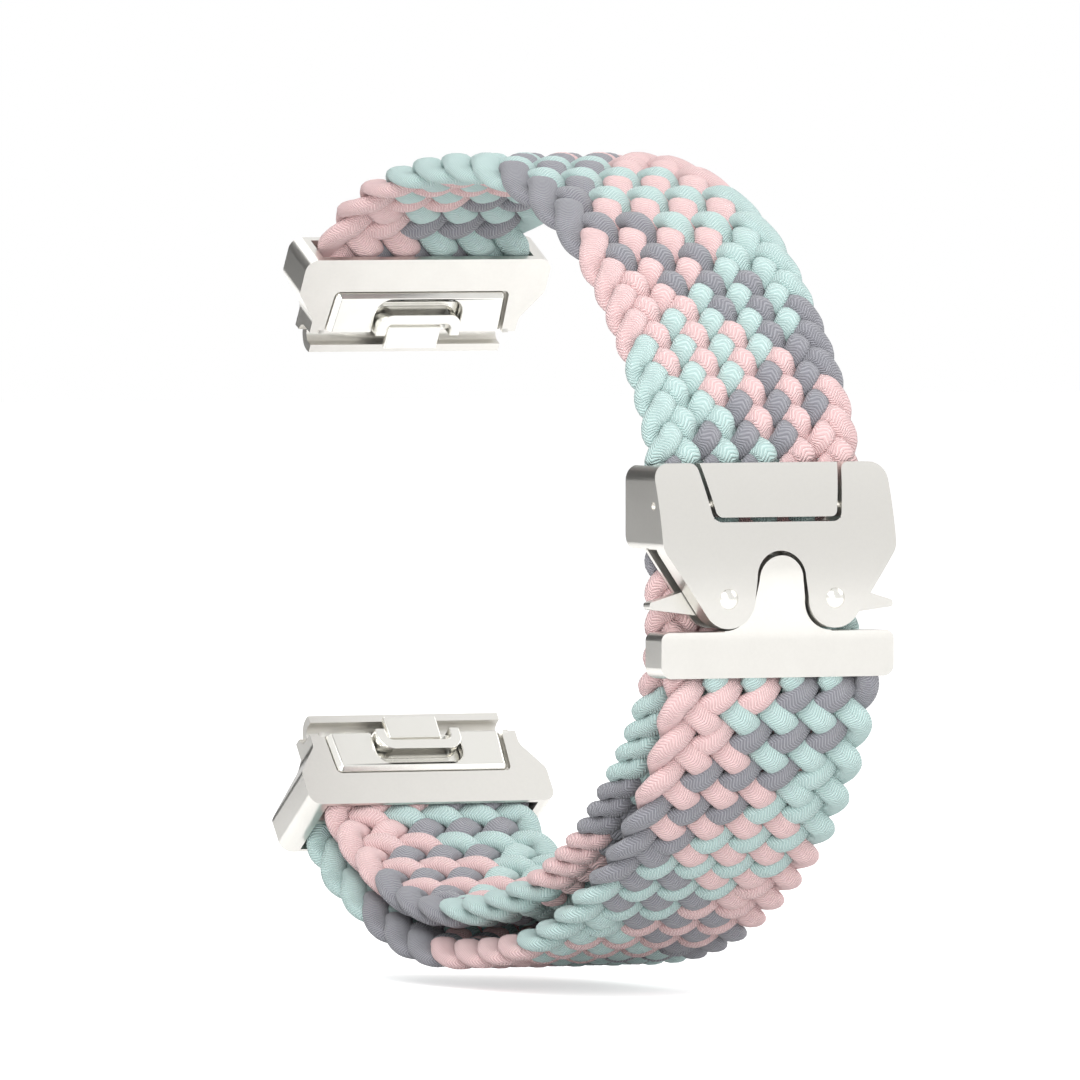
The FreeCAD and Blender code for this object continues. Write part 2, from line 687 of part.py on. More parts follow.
def make_tongue():
    """The cross bar and tongue that plug in between the legs."""
    bar_low = tongue_bar_top + tongue_bar_height
    half_bar = tongue_bar_width / 2
    out = (tongue_bar_back, tongue_bar_front)
    bar = upright_plate([(-half_bar, tongue_bar_top), (half_bar, tongue_bar_top), (half_bar, bar_low),
                         (-half_bar, bar_low)], out)
    bar = rounded(bar, tongue_bar_corner, lambda edge: along(edge, deep))
    front_edges = lambda edge: along(edge, across) and edge.Vertexes[0].Y < -tongue_bar_front + 0.01
    bar = rounded(bar, tongue_bar_edge, front_edges)
    half = tongue_width / 2
    round_drop = tongue_tip + half
    flare = half + tongue_flare
    blade_out = (lever_back, tongue_tip_out)
    neck = half + tongue_neck_spread
    stem = [(-half, round_drop), (half, round_drop), (neck, tongue_bar_top - tongue_flare),
            (flare, tongue_bar_top + seat), (-flare, tongue_bar_top + seat),
            (-neck, tongue_bar_top - tongue_flare)]
    blade = upright_plate(stem, blade_out).fuse(disc(half, 0, round_drop, blade_out))
    for side in (-1, 1):
        centre = side * (leg_spacing / 2)
        blade = blade.cut(disc(leg_radius + running, centre, leg_drop, (lever_back - 1, tongue_tip_out + 1)))
    slope_start = clasp_top - tongue_tip - tongue_slope_drop
    slope_end = clasp_top - tongue_bar_top - running
    corners = [(tongue_tip_out, clasp_top), (tongue_tip_out, slope_start), (tongue_bar_front, slope_end),
               (lever_back - 1, slope_end), (lever_back - 1, clasp_top)]
    slope = [vector(-clasp_width, out_at, height) for out_at, height in corners]
    side_view = Part.Face(polygon(slope)).extrude(FreeCAD.Vector(2 * clasp_width, 0, 0))
    blade = blade.common(side_view)
    for side in (-1, 1):
        notch = disc(catch_wire + running, side * (half + fit), catch_seat, (lever_back - 1, lever_front))
        blade = blade.cut(notch)
    tongue = bar.fuse(blade)
    half_tab = tab_thickness / 2 + seat
    slot = slab(strap_width - 1.2 + 2 * seat, (tongue_mid - half_tab, tongue_mid + half_tab),
                (tongue_bottom - 1, tongue_bottom + slot_height))
    tongue = tongue.cut(slot)
    pin_length = strap_width + 0.6
    pin_height = tongue_bottom + slot_height / 2
    tongue = tongue.cut(rod_x(tongue_pin_radius, pin_length, tongue_mid, pin_height))
    export(tongue, "clasp_tongue")
    export(rod_x(tongue_pin_radius, pin_length, tongue_mid, pin_height), "tongue_strap_pin")


def make_catch_spring():
    """A bent wire: two legs grip the tongue's neck and push the lever arms together."""
    layer = lever_front - catch_wire - fit
    near = tongue_width / 2 + fit
    wide = leg_spacing / 2 - post_radius + catch_wire + fit
    foot = near + catch_flare
    shoulder = catch_seat - catch_shoulder
    right = [(wide, catch_top), (wide, shoulder), (near, catch_seat), (foot, catch_low)]
    points = [(-x, drop) for x, drop in reversed(right)] + right
    corners = [vector(x, layer, clasp_top - drop) for x, drop in points]
    path = Part.makePolygon(corners)
    circle = Part.makeCircle(catch_wire, corners[0], corners[1] - corners[0])
    profile = Part.Wire(circle)
    shell = Part.BRepOffsetAPI.MakePipeShell(path)
    shell.add(profile)
    shell.setTransitionMode(1)
    shell.build()
    shell.makeSolid()
    export(shell.shape(), "catch_spring")


def main():
    os.makedirs("parts", exist_ok=True)
    make_link("upper", upper_place(), upper_depth, upper_strap_side, False)
    make_link("lower", lower_place(), lower_depth, lower_strap_side, True)
    make_upper_run()
    make_lower_runs()
    make_clasp_body()
    make_back_plates()
    make_flap()
    make_levers()
    make_tongue()
    make_catch_spring()


main()
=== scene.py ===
"""Looks of a braided elastic watch strap with two end links and a two-lever clasp.

Lengths are in millimetres until a mesh is made, and in metres from there on. A place in the
middle plane is a pair: the distance out from the upper bar channel, and the height.
"""
import json
import logging
import math
from dataclasses import dataclass, field
from enum import Enum
from typing import Any, Dict, List, Optional, Sequence, Tuple, Union

import bpy
import numpy as np
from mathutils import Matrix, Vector


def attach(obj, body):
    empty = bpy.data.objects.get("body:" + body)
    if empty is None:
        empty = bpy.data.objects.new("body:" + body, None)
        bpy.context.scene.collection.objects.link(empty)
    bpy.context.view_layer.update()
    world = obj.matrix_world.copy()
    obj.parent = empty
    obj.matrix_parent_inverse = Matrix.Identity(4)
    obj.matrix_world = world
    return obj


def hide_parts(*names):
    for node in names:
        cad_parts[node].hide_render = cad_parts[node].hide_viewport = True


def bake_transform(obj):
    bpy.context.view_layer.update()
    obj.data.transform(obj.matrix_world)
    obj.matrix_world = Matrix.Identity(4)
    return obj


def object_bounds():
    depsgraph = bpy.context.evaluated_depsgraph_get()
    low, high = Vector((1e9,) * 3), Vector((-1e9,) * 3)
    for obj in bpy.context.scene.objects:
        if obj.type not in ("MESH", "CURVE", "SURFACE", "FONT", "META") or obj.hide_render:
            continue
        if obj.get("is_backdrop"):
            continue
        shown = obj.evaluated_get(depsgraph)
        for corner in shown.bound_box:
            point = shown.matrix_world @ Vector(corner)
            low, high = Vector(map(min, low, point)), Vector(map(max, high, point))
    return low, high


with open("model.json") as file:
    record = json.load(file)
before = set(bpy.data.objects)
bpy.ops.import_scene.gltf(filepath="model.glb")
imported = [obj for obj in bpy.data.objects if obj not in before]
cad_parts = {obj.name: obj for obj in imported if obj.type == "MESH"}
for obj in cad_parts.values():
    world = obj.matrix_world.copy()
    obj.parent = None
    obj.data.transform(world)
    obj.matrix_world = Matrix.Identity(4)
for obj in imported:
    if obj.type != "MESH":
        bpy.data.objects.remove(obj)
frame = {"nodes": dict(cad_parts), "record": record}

LOG = logging.getLogger("strap")
MM = 0.001
Pair = Tuple[float, float]
Colour = Tuple[float, float, float]


class Yarn(Enum):
    """The three colours of cord in the braid."""

    PINK = 0
    MINT = 1
    GREY = 2


class Slot(Enum):
    """The record's material slots."""

    SATIN = "nickel_satin"
    POLISHED = "nickel_polished"
    WIRE = "spring_wire"
    BRAID = "braid"


# Shader helpers


class Value:
    """A socket that can be used in an expression; each operator adds a Math node."""

    def __init__(self, tree: bpy.types.NodeTree, socket: Any) -> None:
        """Wraps an output socket of a node tree."""
        self.tree = tree
        self.socket = socket

    def _math(self, operation: str, *others: Union["Value", float], swap: bool = False) -> "Value":
        """Adds one Math node.

        Args:
            operation: the Math node's operation.
            others: the further operands, sockets or numbers.
            swap: whether the first other comes before this socket.

        Returns:
            The node's output as a new value.
        """
        node = self.tree.nodes.new("ShaderNodeMath")
        node.operation = operation
        operands: List[Union[Value, float]] = [self, *others]
        if swap:
            operands[0], operands[1] = operands[1], operands[0]
        for index, operand in enumerate(operands):
            if isinstance(operand, Value):
                self.tree.links.new(operand.socket, node.inputs[index])
            else:
                node.inputs[index].default_value = operand
        return Value(self.tree, node.outputs[0])

    def __add__(self, other: Union["Value", float]) -> "Value":
        """Sum."""
        return self._math("ADD", other)

    def __radd__(self, other: float) -> "Value":
        """Sum with a number in front."""
        return self._math("ADD", other)

    def __sub__(self, other: Union["Value", float]) -> "Value":
        """Difference."""
        return self._math("SUBTRACT", other)

    def __rsub__(self, other: float) -> "Value":
        """Difference with a number in front."""
        return self._math("SUBTRACT", other, swap=True)

    def __mul__(self, other: Union["Value", float]) -> "Value":
        """Product."""
        return self._math("MULTIPLY", other)

    def __rmul__(self, other: float) -> "Value":
        """Product with a number in front."""
        return self._math("MULTIPLY", other)

    def sine(self) -> "Value":
        """Sine of an angle in radians."""
        return self._math("SINE")

    def size(self) -> "Value":
        """Absolute value."""
        return self._math("ABSOLUTE")

    def fraction(self) -> "Value":
        """What lies past the whole number."""
        return self._math("FRACT")

    def at_least(self, low: float) -> "Value":
        """This value, but never under a number."""
        return self._math("MAXIMUM", low)

    def at_most(self, low: float) -> "Value":
        """This value, but never over a number."""
        return self._math("MINIMUM", low)


class Paint:
    """One material with its node tree and the calls that fill it."""

    def __init__(self, name: str) -> None:
        """Makes an empty material with a principled surface."""
        self.material = bpy.data.materials.new(name)
        self.material.use_nodes = True
        self.tree = self.material.node_tree
        self.surface = next(node for node in self.tree.nodes if node.type == "BSDF_PRINCIPLED")

    def node(self, kind: str, settings: Optional[Dict[str, Any]] = None,
             inputs: Optional[Dict[Union[str, int], Any]] = None) -> bpy.types.Node:
        """Adds a node.

        Args:
            kind: the node's type name.
            settings: what is set on the node before its sockets.
            inputs: values or links for its sockets.

        Returns:
            The new node.
        """
        made = self.tree.nodes.new(kind)
        for key, setting in (settings or {}).items():
            setattr(made, key, setting)
        for key, item in (inputs or {}).items():
            self.feed(made.inputs[key], item)
        return made

    def feed(self, socket: bpy.types.NodeSocket, item: Any) -> None:
        """Links or sets one socket."""
        if isinstance(item, Value):
            self.tree.links.new(item.socket, socket)
        elif isinstance(item, bpy.types.NodeSocket):
            self.tree.links.new(item, socket)
        else:
            socket.default_value = item

    def value(self, socket: bpy.types.NodeSocket) -> Value:
        """Wraps an output for use in an expression."""
        return Value(self.tree, socket)

    def place(self) -> bpy.types.NodeSocket:
        """The point in the object's own space, in metres."""
        return self.node("ShaderNodeTexCoord").outputs["Object"]

    def noise(self, where: Any, scale: float, detail: float = 3.0) -> Value:
        """Soft noise.

        Args:
            where: the coordinates.
            scale: how many bumps there are in a unit of those coordinates.
            detail: octaves.

        Returns:
            A value round one half.
        """
        made = self.node("ShaderNodeTexNoise", {}, {"Vector": where, "Scale": scale, "Detail": detail})
        return self.value(made.outputs[0])

    def mix(self, factor: Any, first: Colour, second: Colour) -> bpy.types.NodeSocket:
        """A colour between two.

        Args:
            factor: a value, 0 for the first and 1 for the second.
            first: linear colour.
            second: linear colour.

        Returns:
            The mixed colour's socket.
        """
        made = self.node("ShaderNodeMix", {"data_type": "RGBA"})
        self.feed(made.inputs[0], factor)
        made.inputs[6].default_value = (*first, 1.0)
        made.inputs[7].default_value = (*second, 1.0)
        return made.outputs[2]

    def bump(self, height: Value, distance: float, strength: float = 1.0) -> None:
        """Raises the surface by a height pattern, up to a distance in metres."""
        made = self.node("ShaderNodeBump", {}, {"Height": height, "Distance": distance, "Strength": strength})
        self.tree.links.new(made.outputs[0], self.surface.inputs["Normal"])

    def set(self, **values: Any) -> None:
        """Sets or links sockets of the surface, with underscores for spaces."""
        for key, item in values.items():
            self.feed(self.surface.inputs[key.replace("_", " ")], item)


def linear(red: int, green: int, blue: int) -> Colour:
    """A display colour of 0 to 255 as linear light."""
    def one(channel: int) -> float:
        """One channel."""
        share = channel / 255
        return share / 12.92 if share <= 0.04045 else ((share + 0.055) / 1.055) ** 2.4
    return (one(red), one(green), one(blue))


@dataclass(frozen=True)
class CordFinish:
    """Elastic yarn knitted round a rubber core: fine slanting ribs that meet in chevrons."""

    yarn: Yarn
    base: Colour
    # the darker colour, mixed in as painted shade in the rib valleys and as random tone from two noises
    shade: Colour
    rib_pitch: float = 0.25
    rows: float = 4.0
    slant: float = 1.5
    rib_height: float = 0.00011

    def material(self) -> bpy.types.Material:
        """Builds the yarn's material on the cord's UV map, in millimetres along and turns round."""
        paint = Paint("yarn_" + self.yarn.name.lower())
        parts = paint.node("ShaderNodeSeparateXYZ")
        paint.tree.links.new(paint.node("ShaderNodeUVMap", {"uv_map": "cord"}).outputs[0], parts.inputs[0])
        run, turn = paint.value(parts.outputs[0]), paint.value(parts.outputs[1])
        zigzag = ((turn * self.rows).fraction() - 0.5).size()
        angle = (run * (1 / self.rib_pitch) + zigzag * (2 * self.slant)) * (2 * math.pi)
        rib = angle.sine() * 0.5 + 0.5
        valley = 1 - rib
        patchy = paint.noise(paint.place(), 900.0, 3.0)
        fibre = paint.noise(paint.place(), 9000.0, 2.0)
        # painted shade: the base colour darkens towards the shade colour in the rib valleys; the two noises
        # add random tone
        shade = valley * 0.55 + (1 - patchy) * 0.12 + (1 - fibre) * 0.12
        paint.set(Base_Color=paint.mix(shade, self.base, self.shade),
                  Roughness=valley * 0.1 + 0.72, Sheen_Weight=0.25, Specular_IOR_Level=0.3)
        paint.bump(rib + fibre * 0.25, self.rib_height)
        return paint.material


@dataclass(frozen=True)
class MetalFinish:
    """Plated metal with a fine grain and slightly uneven gloss."""

    slot: Slot
    base: Colour
    shade: Colour
    roughness: float
    grain: float
    grain_height: float

    def material(self) -> bpy.types.Material:
        """Builds the plating's material on object coordinates."""
        paint = Paint("finish_" + self.slot.value)
        cloud = paint.noise(paint.place(), 180.0, 4.0)
        fine = paint.noise(paint.place(), self.grain, 2.0)
        paint.set(Base_Color=paint.mix(cloud * 0.6 + fine * 0.25, self.base, self.shade), Metallic=1.0,
                  Roughness=cloud * 0.1 + fine * 0.06 + (self.roughness - 0.08))
        paint.bump(fine, self.grain_height)
        return paint.material


# The strap's line in the middle plane


def smooth(points: Sequence[Pair], step: float = 0.2) -> List[Pair]:
    """A natural cubic curve through points, as a fine chain of points.

    Args:
        points: places in the middle plane.
        step: the chain's spacing in millimetres.

    Returns:
        The chain.
    """
    knots = np.array(points, float)
    lengths = np.hypot(*np.diff(knots, axis=0).T)
    at = np.concatenate([[0.0], np.cumsum(lengths)])
    count = len(at)
    system = np.eye(count)
    right = np.zeros((count, 2))
    for k in range(1, count - 1):
        before, after = lengths[k - 1], lengths[k]
        system[k, k - 1:k + 2] = (before, 2 * (before + after), after)
        right[k] = 6 * ((knots[k + 1] - knots[k]) / after - (knots[k] - knots[k - 1]) / before)
    bend = np.linalg.solve(system, right)
    chain = []
    for k in range(count - 1):
        span = lengths[k]
        for share in np.arange(0, 1, step / span):
            one, other = 1 - share, share
            chain.append(tuple(one * knots[k] + other * knots[k + 1]
                               + span * span / 6 * ((one ** 3 - one) * bend[k]
                                                    + (other ** 3 - other) * bend[k + 1])))
    return chain + [tuple(knots[-1])]


@dataclass
class Link:
    """An end link's place: its bar, and how far it leans from upright."""

    height: float
    tilt: float
    upward: float

    def point(self, away: float, side: float) -> Pair:
        """A place given by the distance from the bar and the distance towards the wrist."""
        lean = math.radians(self.tilt)
        out = away * math.sin(lean) + side * math.cos(lean)
        rise = away * math.cos(lean) - side * math.sin(lean)
        return (out, self.height + self.upward * rise)


@dataclass
class StrapLine:
    """The strap's middle line from the upper link, through the clasp and back to the clasp's bar."""

    bar_pitch: float = 44.0
    clasp_out: float = 84.2
    upper_rise: float = 18.3
    inner_drop: float = 17.8
    outer_drop: float = 22.5
    clasp_top: float = -12.5
    clasp_bottom: float = -30.45
    bar_out: float = 88.0
    bar_bottom: float = -35.3
    mouth: float = 10.4
    straight: float = 1.4
    upper_side: float = -1.0
    lower_side: float = -0.7
    layer_gap: float = 4.9
    cross_bar_along: float = 9.0
    upper_begin: float = 6.7
    seams: Dict[str, Tuple[float, float]] = field(default_factory=dict)

    def __post_init__(self) -> None:
        """Joins the stretches and measures the length."""
        upper, lower = Link(0.0, 30.0, 1.0), Link(-self.bar_pitch, 36.0, -1.0)
        far = self.lower_layer()
        stretches = {
            "upper": self.upper_stretch(upper),
            "clasp": [(self.clasp_out, self.clasp_top - 0.2 * k)
                      for k in range(1, int((self.clasp_top - self.clasp_bottom) / 0.2))],
            "inner": self.inner_stretch(lower),
            "fold": self.fold_stretch(lower),
            "outer": self.outer_stretch(lower, far),
        }
        chain: List[Pair] = []
        marks: Dict[str, Tuple[int, int]] = {}
        for name, stretch in stretches.items():
            start = max(len(chain) - 1, 0)
            chain += stretch
            marks[name] = (start, len(chain) - 1)
        self.chain = np.array(chain)
        self.along = np.concatenate([[0.0], np.cumsum(np.hypot(*np.diff(self.chain, axis=0).T))])
        for name, (first, last) in marks.items():
            self.seams[name] = (float(self.along[first]), float(self.along[last]))

    def lower_layer(self) -> float:
        """The outer layer's distance towards the wrist in the lower link."""
        return self.lower_side - self.layer_gap

    def upper_stretch(self, link: Link) -> List[Pair]:
        """From inside the upper link over the top to the clasp's upper edge."""
        shape = [(0.118, 0.76), (0.235, 0.925), (0.37, 1.0), (0.53, 0.985), (0.68, 0.81), (0.81, 0.49),
                 (0.905, 0.08), (0.968, -0.3)]
        points = [link.point(self.mouth - self.straight, self.upper_side),
                  link.point(self.mouth, self.upper_side)]
        points += [(self.clasp_out * out, self.upper_rise * rise) for out, rise in shape]
        points += [(self.clasp_out, self.clasp_top + 0.1), (self.clasp_out, self.clasp_top - self.straight)]
        inside = [link.point(self.upper_begin + 0.2 * k, self.upper_side)
                  for k in range(int((self.mouth - self.straight - self.upper_begin) / 0.2))]
        return inside + [place for place in smooth(points) if place[1] > self.clasp_top or place[0] < 60]

    def inner_stretch(self, link: Link) -> List[Pair]:
        """From behind the clasp down to the lower link's cross bar."""
        shape = [(0.968, -0.31), (0.903, 0.06), (0.808, 0.45), (0.665, 0.80), (0.475, 1.0), (0.285, 1.0),
                 (0.151, 0.775)]
        points = [(self.clasp_out, self.clasp_bottom + self.straight),
                  (self.clasp_out, self.clasp_bottom - 0.1)]
        points += [(self.clasp_out * out, -self.bar_pitch - self.inner_drop * drop) for out, drop in shape]
        points += [link.point(self.mouth, self.lower_side), link.point(self.cross_bar_along, self.lower_side)]
        return [place for place in smooth(points) if place[1] < self.clasp_bottom or place[0] < 60]

    def fold_stretch(self, link: Link) -> List[Pair]:
        """Half a turn round the cross bar."""
        radius = self.layer_gap / 2
        steps = 36
        return [link.point(self.cross_bar_along - radius * math.sin(math.pi * k / steps),
                           self.lower_side - radius + radius * math.cos(math.pi * k / steps))
                for k in range(1, steps)]

    def outer_stretch(self, link: Link, side: float) -> List[Pair]:
        """From the cross bar round the outside and up into the clasp's bar."""
        shape = [(0.14, 0.80), (0.285, 0.98), (0.475, 1.0), (0.655, 0.895), (0.805, 0.655), (0.905, 0.405),
                 (0.976, 0.14), (1.026, -0.16)]
        points = [link.point(self.cross_bar_along, side), link.point(self.mouth, side)]
        points += [(self.clasp_out * out, -self.bar_pitch - self.outer_drop * drop) for out, drop in shape]
        points += [(self.bar_out, self.bar_bottom - 0.1), (self.bar_out, self.bar_bottom + 0.6)]
        return smooth(points)

    def frame_at(self, s: float) -> Tuple[np.ndarray, np.ndarray]:
        """The middle line's place and its outward normal, as (out, height).

        Args:
            s: the distance along the line.

        Returns:
            The place and the unit normal.
        """
        reach = 0.5
        def place(at: float) -> np.ndarray:
            """The chain's place at a distance."""
            return np.array([np.interp(at, self.along, self.chain[:, axis]) for axis in (0, 1)])
        here = place(s)
        tangent = place(min(s + reach, self.along[-1])) - place(max(s - reach, 0.0))
        tangent /= np.hypot(*tangent)
        return here, np.array([-tangent[1], tangent[0]])


# The braid


@dataclass
class Braid:
    """Eleven flat elastic cords, each passing over one and under the next across the strap."""

    line: StrapLine
    cords: int = 11
    half_reach: float = 12.54
    lift: float = 0.84
    thickness: float = 1.7
    flatness: float = 2.3
    lead: float = 0.16
    straightness: float = 0.52
    cover: float = 1.14
    tight_pitch: float = 3.7
    spread: float = 0.085
    around: int = 14
    length_step: float = 0.36

    def __post_init__(self) -> None:
        """Sets the column width and the pace of the edge turns along the strap."""
        self.column = 2 * self.half_reach / self.cords
        start = self.line.seams["upper"][0] + self.line.mouth - self.line.upper_begin
        inner_mouth = self.line.seams["inner"][1] - (self.line.mouth - self.line.cross_bar_along)
        outer_start = self.line.seams["outer"][0]
        clasp = self.line.seams["clasp"]
        places = [0.0, start, start + 21, start + 49, start + 69.5, start + 84, clasp[0], clasp[1] + 6,
                  inner_mouth - 55, inner_mouth, outer_start + 1, outer_start + 45,
                  self.line.seams["outer"][1]]
        turns = [0.2, 0.8, 4.0, 8.0, 11.0, 15.0, 18.1, 25.0, 36.0, 46.0, 49.0, 56.5, 69.0]
        self.places, self.turns = np.array(places), np.array(turns)

    def passed(self, s: float) -> float:
        """How many cords have turned at the left edge before a distance along the strap."""
        window = 6.0
        offsets = np.linspace(-window, window, 9)
        weights = 1 - (offsets / (window * 1.1)) ** 2
        samples = np.interp(s + offsets, self.places, self.turns)
        low, high = self.places[0], self.places[-1]
        slope_low = (self.turns[1] - self.turns[0]) / (self.places[1] - self.places[0])
        slope_high = (self.turns[-1] - self.turns[-2]) / (self.places[-1] - self.places[-2])
        before, after = np.minimum(s + offsets - low, 0), np.maximum(s + offsets - high, 0)
        samples = samples + before * slope_low + after * slope_high
        return float((samples * weights).sum() / weights.sum())

    def across(self, slots: float, leaving: bool) -> float:
        """The distance across from an edge.

        Args:
            slots: columns since or until the turn at that edge.
            leaving: whether the cord has turned and moves away from the edge.

        Returns:
            The distance in millimetres.
        """
        sign = -1.0 if leaving else 1.0
        slope = 1 - sign * self.straightness
        if slots < 1:
            d = slots
            turn = 0.5 * (2 * d ** 3 - 3 * d ** 2 + 1)
            return self.column * (turn + 3 * d ** 2 - 2 * d ** 3 + slope * (d ** 3 - d ** 2))
        sway = self.straightness * math.sin(math.pi * slots) / math.pi
        return self.column * (slots + sign * sway)

    def height(self, q: float) -> float:
        """The share of the lift at a place in a cord's round trip, 1 on top and -1 below."""
        span = 2 * self.cords
        q %= span
        if q <= 1 or q >= span - 1:
            turn = q if q <= 1 else q - span
            return math.cos(math.pi * (turn + 1) / 2)
        if q < self.cords - 1:
            return math.cos(math.pi * q)
        if q <= self.cords + 1:
            return math.cos(math.pi * (q - self.cords + 1) / 2)
        return -math.cos(math.pi * q)

    def cord_point(self, cord: int, s: float) -> Tuple[float, float]:
        """A cord's place across the strap and its height above the middle line.

        Args:
            cord: the cord's number.
            s: the distance along the strap.

        Returns:
            The place across and the height.
        """
        span = 2 * self.cords
        q = (2 * (self.passed(s) - cord)) % span
        from_left = min(q, span - q)
        from_right = abs(q - self.cords)
        if from_left <= from_right:
            x = -self.half_reach + self.across(from_left, q < self.cords)
        else:
            x = self.half_reach - self.across(from_right, q > self.cords)
        return x, self.lift * self.height(q + self.lead)

    def place(self, cord: int, s: float) -> np.ndarray:
        """A cord's centre in space, in millimetres."""
        x, height = self.cord_point(cord, s)
        here, normal = self.line.frame_at(s)
        out, up = here + normal * height
        return np.array([x, -out, up])

    def ring(self, cord: int, s: float) -> Tuple[np.ndarray, List[np.ndarray]]:
        """The cord's section at a distance along the strap.

        Args:
            cord: the cord's number.
            s: the distance along the strap.

        Returns:
            The centre and the section's points.
        """
        reach = 0.12
        centre = self.place(cord, s)
        tangent = self.place(cord, s + reach) - self.place(cord, s - reach)
        tangent /= np.linalg.norm(tangent)
        _, normal = self.line.frame_at(s)
        up = np.array([0.0, -normal[0], normal[1]])
        up -= tangent * up.dot(tangent)
        up /= np.linalg.norm(up)
        side = np.cross(tangent, up)
        pitch = 1.0 / max(self.passed(s + 0.5) - self.passed(s - 0.5), 0.05)
        width = self.column * (self.cover + self.spread * max(pitch - self.tight_pitch, 0.0))
        half_width, half_thick = width / 2, self.thickness / 2
        points = []
        for k in range(self.around):
            angle = 2 * math.pi * k / self.around
            c, n = math.cos(angle), math.sin(angle)
            wide = math.copysign(abs(c) ** (2 / self.flatness), c) * half_width
            high = math.copysign(abs(n) ** (2 / self.flatness), n) * half_thick
            points.append(centre + side * wide + up * high)
        return centre, points

    def build(self, name: str, start: float, end: float, yarns: Sequence[Yarn],
              materials: Dict[Yarn, bpy.types.Material]) -> bpy.types.Object:
        """Makes one stretch of braid.

        Args:
            name: the piece's name.
            start: where it starts along the strap.
            end: where it ends.
            yarns: the colour of each cord.
            materials: the material of each colour.

        Returns:
            The new piece.
        """
        steps = max(int((end - start) / self.length_step), 2)
        vertices: List[np.ndarray] = []
        faces: List[Tuple[int, ...]] = []
        kinds: List[int] = []
        uvs: List[List[Pair]] = []
        order = list(Yarn)
        for cord in range(self.cords):
            run, last = 0.0, None
            base = len(vertices)
            runs = []
            for k in range(steps + 1):
                centre, points = self.ring(cord, start + (end - start) * k / steps)
                run += 0.0 if last is None else float(np.linalg.norm(centre - last))
                last = centre
                runs.append(run)
                vertices += points
            kind = order.index(yarns[cord])
            for k in range(steps):
                for j in range(self.around):
                    a, b = base + k * self.around + j, base + k * self.around + (j + 1) % self.around
                    faces.append((a, b, b + self.around, a + self.around))
                    low, high = j / self.around, (j + 1) / self.around
                    uvs.append([(runs[k], low), (runs[k], high), (runs[k + 1], high), (runs[k + 1], low)])
                    kinds.append(kind)
            tail = base + steps * self.around
            faces.append(tuple(base + j for j in reversed(range(self.around))))
            faces.append(tuple(tail + j for j in range(self.around)))
            for at in (0.0, runs[-1]):
                uvs.append([(at, j / self.around) for j in range(self.around)])
                kinds.append(kind)
        mesh = bpy.data.meshes.new(name)
        mesh.from_pydata([tuple(point * MM) for point in vertices], [], faces)
        layer = mesh.uv_layers.new(name="cord")
        layer.data.foreach_set("uv", [part for corners in uvs for pair in corners for part in pair])
        for yarn in order:
            mesh.materials.append(materials[yarn])
        mesh.polygons.foreach_set("material_index", kinds)
        mesh.polygons.foreach_set("use_smooth", [len(face) == 4 for face in faces])
        mesh.update()
        piece = bpy.data.objects.new(name, mesh)
        bpy.context.collection.objects.link(piece)
        return piece


@dataclass
class Strap:
    """The whole strap: one braid in five pieces, one for each run of the frame."""

    line: StrapLine = field(default_factory=StrapLine)
    order: Tuple[Yarn, ...] = (Yarn.PINK,) * 4 + (Yarn.MINT,) * 4 + (Yarn.GREY,) * 3

    def finishes(self) -> Dict[Yarn, bpy.types.Material]:
        """The material of each colour of cord."""
        # second colour of each pair: painted shade in the rib valleys, and the darker end of the random tone
        tones = {Yarn.PINK: ((243, 213, 212), (212, 168, 169)), Yarn.MINT: ((206, 227, 224), (156, 190, 187)),
                 Yarn.GREY: ((166, 166, 173), (104, 104, 112))}
        return {yarn: CordFinish(yarn, linear(*base), linear(*shade)).material()
                for yarn, (base, shade) in tones.items()}

    def build(self) -> List[bpy.types.Object]:
        """Makes the five pieces, one in place of each run, and ties all but the outer one to the loop.

        Returns:
            The pieces.
        """
        braid = Braid(self.line)
        materials = self.finishes()
        stands_for = {"upper": "strap_upper_run", "clasp": "strap_under_clasp", "inner": "strap_inner_run",
                      "fold": "strap_fold", "outer": "strap_outer_run"}
        made = []
        for stretch, node in stands_for.items():
            start, end = self.line.seams[stretch]
            piece = braid.build(stretch + "_braid", start, end, self.order, materials)
            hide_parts(node)
            if stretch == "outer":
                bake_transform(piece)
            else:
                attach(piece, "loop")
            LOG.info("%s: %d faces, %.1f to %.1f mm", piece.name, len(piece.data.polygons), start, end)
            made.append(piece)
        return made


# The metal


Point = Tuple[float, float]


def arc(centre: Point, radius: float, start: float, end: float, steps: int = 12) -> List[Point]:
    """Points on an arc between two angles in degrees."""
    turns = [math.radians(start + (end - start) * k / steps) for k in range(steps + 1)]
    return [(centre[0] + radius * math.cos(turn), centre[1] + radius * math.sin(turn)) for turn in turns]


def ring(centre: Point, radius: float, corners: int) -> List[Point]:
    """The corners of a closed circle."""
    return arc(centre, radius, 0, 360 - 360 / corners, corners - 1)


def eased(points: Sequence[Point], radii: Sequence[float]) -> List[Point]:
    """An open outline whose inner corners are rounded, each by its own radius."""
    path = [points[0]]
    for before, corner, after, radius in zip(points, points[1:], points[2:], radii):
        if not radius:
            path.append(corner)
            continue
        here = Vector(corner)
        one, two = (Vector(before) - here).normalized(), (Vector(after) - here).normalized()
        half = one.angle(two) / 2
        middle = here + (one + two).normalized() * (radius / math.sin(half))
        start = here + one * (radius / math.tan(half)) - middle
        end = here + two * (radius / math.tan(half)) - middle
        first, last = (math.degrees(math.atan2(side.y, side.x)) for side in (start, end))
        path += arc(tuple(middle), radius, first, first + (last - first + 180) % 360 - 180, 8)
    return path + [points[-1]]


def both_sides(half: Sequence[Point]) -> List[Point]:
    """A closed outline from its right half, which starts and ends in the middle."""
    return list(half) + [(-x, drop) for x, drop in reversed(half) if x > 0.001]


